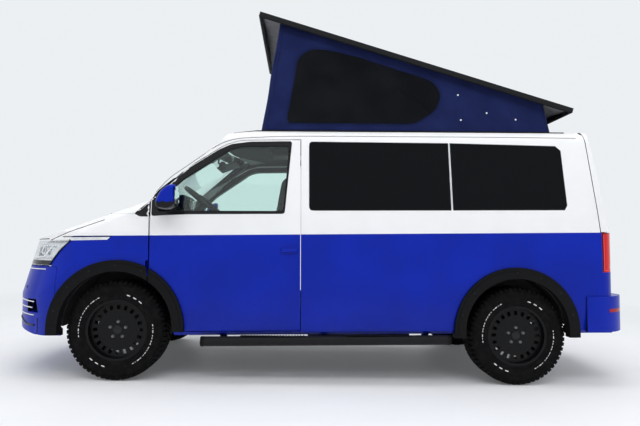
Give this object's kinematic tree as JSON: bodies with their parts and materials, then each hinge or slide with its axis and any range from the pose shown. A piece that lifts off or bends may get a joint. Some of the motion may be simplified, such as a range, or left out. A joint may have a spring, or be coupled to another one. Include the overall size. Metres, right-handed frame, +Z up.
{
  "type": "camper van with raised pop-top roof",
  "caption": "Two-tone panel-van camper with a rear-hinged pop-top roof raised on canvas walls, opening front doors, bonnet and tailgate, steered front wheels and four turning wheels.",
  "frame": {"origin": "centre of the van's outer box on the road surface below the tyres", "axes": "+X to the nose along the length, +Y to the van's left side, +Z up"},
  "size_m": [4.9078, 2.3, 2.9043],
  "materials": {
    "blue_paint": "gloss",
    "white_paint": "gloss",
    "black_plastic": "satin",
    "clear_glass": "clear",
    "dark_glass": "tinted",
    "lamp_glass": "clear",
    "red_lamp": "gloss",
    "black_metal": "satin",
    "lid_black": "satin",
    "bare_steel": "brushed",
    "canvas": "woven",
    "floor_paint": "satin",
    "dark_trim": "grained",
    "seat_fabric": "woven",
    "cabinet": "laminate",
    "cast": "cast",
    "chassis_steel": "satin",
    "tyre": "matt",
    "rim_black": "gloss"
  },
  "bodies": {
    "van_body": {"front_bumper": "blue_paint", "grille": "black_plastic", "windscreen": "clear_glass", "roof_panel": "white_paint", "front_wings": "blue_paint", "left_side": "white_paint", "right_side": "white_paint", "sliding_door": "white_paint", "side_glass": "dark_glass", "headlamps": "lamp_glass", "tail_lamps": "red_lamp", "wheel_arch_trims": "black_plastic", "side_steps": "black_metal", "pop_top_canvas": "canvas", "floor_pan": "floor_paint", "scuttle": "floor_paint", "dashboard": "dark_trim", "front_seats": "seat_fabric", "rear_bench": "seat_fabric", "kitchen_unit": "cabinet", "rear_bumper": "blue_paint", "engine": "cast", "front_subframe": "chassis_steel", "rear_axle": "chassis_steel"},
    "left_door": {"left_front_door": "blue_paint", "left_door_glass": "clear_glass", "left_mirror": "blue_paint"},
    "right_door": {"right_front_door": "blue_paint", "right_door_glass": "clear_glass", "right_mirror": "blue_paint"},
    "bonnet_lid": {"bonnet": "white_paint"},
    "tailgate_door": {"tailgate": "blue_paint", "tailgate_glass": "dark_glass"},
    "roof_arms": {"lid_arms": "bare_steel"},
    "roof_lid": {"pop_top_lid": "lid_black"},
    "left_knuckle": {"left_front_knuckle": "cast"},
    "right_knuckle": {"right_front_knuckle": "cast"},
    "left_front_wheel": {"left_front_tyre": "tyre", "left_front_rim": "rim_black"},
    "right_front_wheel": {"right_front_tyre": "tyre", "right_front_rim": "rim_black"},
    "left_rear_wheel": {"left_rear_tyre": "tyre", "left_rear_rim": "rim_black"},
    "right_rear_wheel": {"right_rear_tyre": "tyre", "right_rear_rim": "rim_black"}
  },
  "joints": [
    {"name": "left_steer", "type": "hinge", "parent": "van_body", "child": "left_knuckle", "pos_m": [1.544, 0.78, 0.368], "axis": [0, 0, 1], "range_deg": [-32, 32]},
    {"name": "right_steer", "type": "hinge", "parent": "van_body", "child": "right_knuckle", "pos_m": [1.544, -0.78, 0.368], "axis": [0, 0, 1], "range_deg": [-32, 32]},
    {"name": "left_front_wheel_spin", "type": "hinge", "parent": "left_knuckle", "child": "left_front_wheel", "pos_m": [1.544, 0.814, 0.368], "axis": [0, 1, 0], "continuous": true},
    {"name": "right_front_wheel_spin", "type": "hinge", "parent": "right_knuckle", "child": "right_front_wheel", "pos_m": [1.544, -0.814, 0.368], "axis": [0, 1, 0], "continuous": true},
    {"name": "left_rear_wheel_spin", "type": "hinge", "parent": "van_body", "child": "left_rear_wheel", "pos_m": [-1.456, 0.814, 0.368], "axis": [0, 1, 0], "continuous": true},
    {"name": "right_rear_wheel_spin", "type": "hinge", "parent": "van_body", "child": "right_rear_wheel", "pos_m": [-1.456, -0.814, 0.368], "axis": [0, 1, 0], "continuous": true},
    {"name": "left_door_hinge", "type": "hinge", "parent": "van_body", "child": "left_door", "pos_m": [1.27809, 0.925, 0.82562], "axis": [-0.0192, 0, -0.9998], "range_deg": [0, 65]},
    {"name": "right_door_hinge", "type": "hinge", "parent": "van_body", "child": "right_door", "pos_m": [1.27809, -0.925, 0.82562], "axis": [0.0192, 0, 0.9998], "range_deg": [0, 65]},
    {"name": "bonnet_hinge", "type": "hinge", "parent": "van_body", "child": "bonnet_lid", "pos_m": [1.67592, 0, 1.23005], "axis": [0, -1, 0], "range_deg": [0, 50]},
    {"name": "tailgate_hinge", "type": "hinge", "parent": "van_body", "child": "tailgate_door", "pos_m": [-2.01874, 0, 1.96012], "axis": [0, 1, 0], "range_deg": [0, 85]},
    {"name": "roof_arms_pivot", "type": "hinge", "parent": "van_body", "child": "roof_arms", "pos_m": [-1.6957, 0, 2.00198], "axis": [0, 1, 0], "range_deg": [0, 100], "deforming": ["pop_top_canvas"]},
    {"name": "roof_lid_pivot", "type": "hinge", "parent": "roof_arms", "child": "roof_lid", "pos_m": [-1.6925, 0, 2.16894], "axis": [0, -1, 0], "range_deg": [0, 83.5]}
  ],
  "couplings": [
    {"joint": "right_steer", "follows": "left_steer", "ratio": 1},
    {"joint": "roof_lid_pivot", "follows": "roof_arms_pivot", "ratio": 0.8325}
  ]
}
